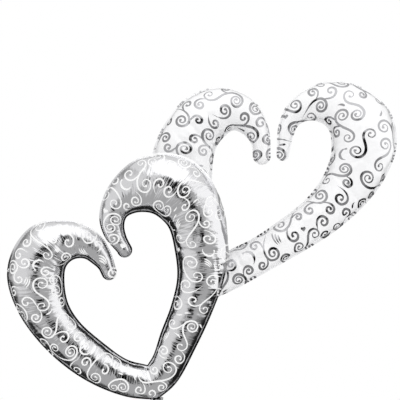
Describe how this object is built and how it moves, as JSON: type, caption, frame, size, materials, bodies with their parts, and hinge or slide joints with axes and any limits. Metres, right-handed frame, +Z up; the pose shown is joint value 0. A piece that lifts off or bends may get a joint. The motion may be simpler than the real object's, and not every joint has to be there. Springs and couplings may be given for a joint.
{
  "type": "foil balloon pair",
  "caption": "Two joined open-heart helium foil balloons with curled tips, one mirror silver and one white, each with a scroll print, a filling neck and a flat tail.",
  "frame": {"origin": "on the flat front face of the silver heart's tail, where the ribbon is tied, 22 mm below the heart's point", "axes": "+Z up as the pair floats; +X to the viewer's right, from the silver heart to the white heart; the viewer is on -Y and the white heart is behind the silver one"},
  "size_m": [1.198, 0.3363, 1.0519],
  "materials": {
    "silver_foil": "mirror silver metallised film with a white scroll print",
    "white_foil": "glossy pearl-white film with a silver scroll print",
    "valve_film": "thin translucent film, soft sheen",
    "glue_gel": "clear tacky gel"
  },
  "bodies": {
    "silver_heart": {"silver_front_film": "silver_foil", "silver_back_film": "silver_foil", "silver_valve_front_ply": "valve_film", "silver_valve_back_ply": "valve_film", "upper_glue_pad": "glue_gel", "lower_glue_pad": "glue_gel"},
    "silver_tail": {"silver_tail_front_ply": "silver_foil", "silver_tail_back_ply": "silver_foil"},
    "white_heart": {"white_front_film": "white_foil", "white_back_film": "white_foil", "white_valve_front_ply": "valve_film", "white_valve_back_ply": "valve_film"},
    "white_tail": {"white_tail_front_ply": "white_foil", "white_tail_back_ply": "white_foil"}
  },
  "joints": [
    {"name": "heart_rock", "type": "hinge", "parent": "silver_heart", "child": "white_heart", "pos_m": [0.09961, 0.07475, 0.55906], "axis": [-0.2469, 0.0583, 0.9673], "range_deg": [-4, 4], "stiffness_Nm_per_rad": 0.5},
    {"name": "silver_tail_swing", "type": "hinge", "parent": "silver_heart", "child": "silver_tail", "pos_m": [-0.00359, 0.002, 0.01764], "axis": [0.9799, 0, 0.1994], "range_deg": [-70, 70], "stiffness_Nm_per_rad": 0.002},
    {"name": "white_tail_swing", "type": "hinge", "parent": "white_heart", "child": "white_tail", "pos_m": [0.11229, 0.08844, 0.29682], "axis": [0.9438, -0.0489, -0.3269], "range_deg": [-18, 70], "stiffness_Nm_per_rad": 0.002}
  ]
}
